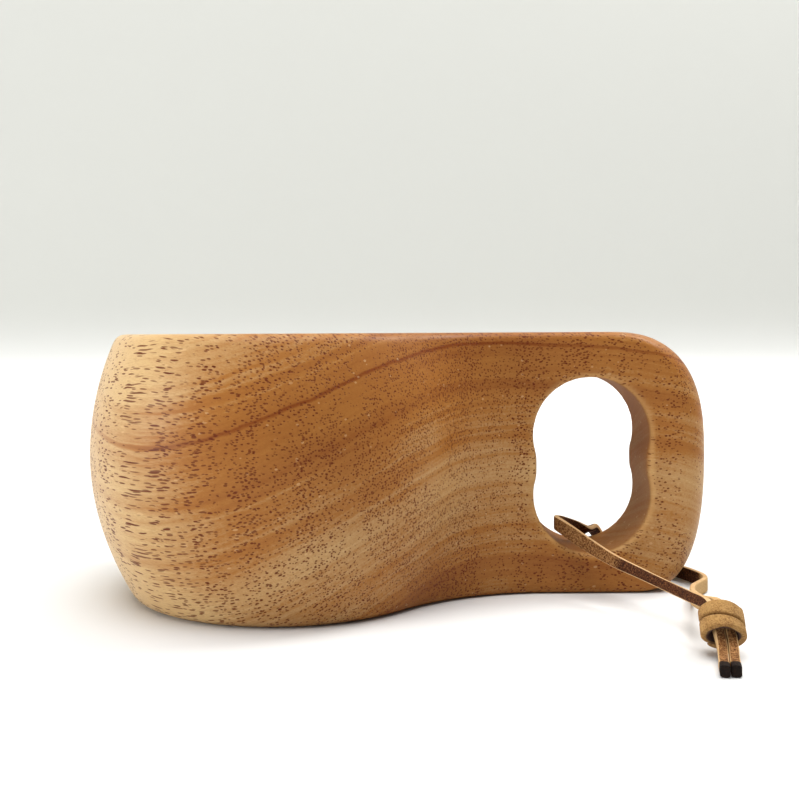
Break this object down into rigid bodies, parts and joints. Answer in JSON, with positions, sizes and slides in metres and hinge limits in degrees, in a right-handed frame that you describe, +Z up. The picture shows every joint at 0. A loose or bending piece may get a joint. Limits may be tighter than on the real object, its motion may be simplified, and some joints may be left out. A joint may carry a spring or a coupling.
{
  "type": "wooden cup",
  "caption": "Low carved wooden cup with a round bowl, a flat handle with a finger hole, and a leather lace looped through it and held by a wound bead.",
  "frame": {"origin": "under the middle of the cup's length, on the plane that its foot stands on", "axes": "+X from the bowl to the handle, +Z up, the lace's bead lies on the -Y side"},
  "size_m": [0.144, 0.1107, 0.06],
  "materials": {
    "oiled_wood": "smooth sanded wood with a thin oil finish, fine open pores and wavy growth rings",
    "lace_leather": "raw split leather lace, brown and speckled, with pale cut edges and dark sealed ends",
    "bead_leather": "golden tan split leather with a short nap"
  },
  "bodies": {
    "cup": {"cup_body": "oiled_wood", "lace": "lace_leather"},
    "bead": {"bead": "bead_leather"}
  },
  "joints": [
    {"name": "bead_slide", "type": "slide", "parent": "cup", "child": "bead", "axis": [-0.133, -0.7544, -0.6428], "range_m": [-0.004, 0.001], "deforming": ["lace"]}
  ]
}
